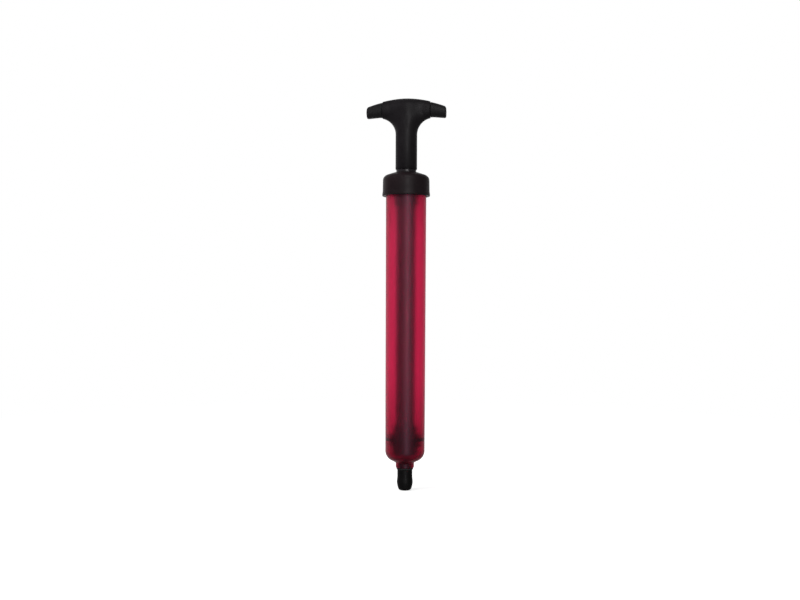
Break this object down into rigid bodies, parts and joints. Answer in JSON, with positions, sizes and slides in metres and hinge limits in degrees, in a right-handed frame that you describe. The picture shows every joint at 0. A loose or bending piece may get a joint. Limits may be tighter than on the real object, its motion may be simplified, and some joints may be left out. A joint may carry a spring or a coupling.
{
  "type": "hand ball pump",
  "caption": "Hand pump for balls: T-handle plunger with a sealed piston in a see-through red barrel, black end cap, and a nozzle with check valve and threaded needle socket.",
  "frame": {"origin": "centre of the needle socket's mouth, at the pump's lower end", "axes": "+Z along the pump's axis towards the handle, +X along the handle's right arm as the picture shows it, -Y towards the viewer"},
  "size_m": [0.062, 0.0372, 0.3049],
  "materials": {
    "red_clear_plastic": "translucent red, lightly frosted",
    "black_plastic": "satin black moulding",
    "grip_plastic": "fine-grained black moulding",
    "rod_plastic": "smooth dark grey tube",
    "piston_plastic": "black acetal",
    "black_rubber": "soft black rubber",
    "white_plastic": "natural nylon",
    "black_steel": "black-oxide steel",
    "spring_steel": "bright spring wire"
  },
  "bodies": {
    "barrel": {"barrel": "red_clear_plastic", "cap": "black_plastic", "rod_guide": "black_plastic", "nozzle": "black_plastic", "nozzle_washer": "black_rubber", "needle_gasket": "black_rubber", "valve_seat": "piston_plastic", "valve_spring": "spring_steel"},
    "piston": {"piston_head": "piston_plastic"},
    "plunger": {"rod": "rod_plastic", "rod_end": "piston_plastic", "piston_washer": "black_steel", "piston_screw": "black_steel", "stop_bumper": "black_rubber", "handle": "black_plastic", "left_grip": "grip_plastic", "right_grip": "grip_plastic"},
    "seal": {"o_ring": "black_rubber"},
    "valve": {"valve_poppet": "white_plastic", "valve_disc": "black_rubber"}
  },
  "joints": [
    {"name": "plunger_slide", "type": "slide", "parent": "barrel", "child": "piston", "axis": [0, 0, 1], "range_m": [0, 0.1706]},
    {"name": "handle_turn", "type": "hinge", "parent": "piston", "child": "plunger", "pos_m": [0, 0, 0.0366], "axis": [0, 0, 1], "continuous": true},
    {"name": "seal_float", "type": "slide", "parent": "piston", "child": "seal", "axis": [0, 0, 1], "range_m": [-0.0014, 0]},
    {"name": "valve_lift", "type": "slide", "parent": "barrel", "child": "valve", "axis": [0, 0, 1], "range_m": [-0.0015, 0], "stiffness_N_per_m": 60, "springref_m": 0.0005, "deforming": ["valve_spring"]}
  ]
}
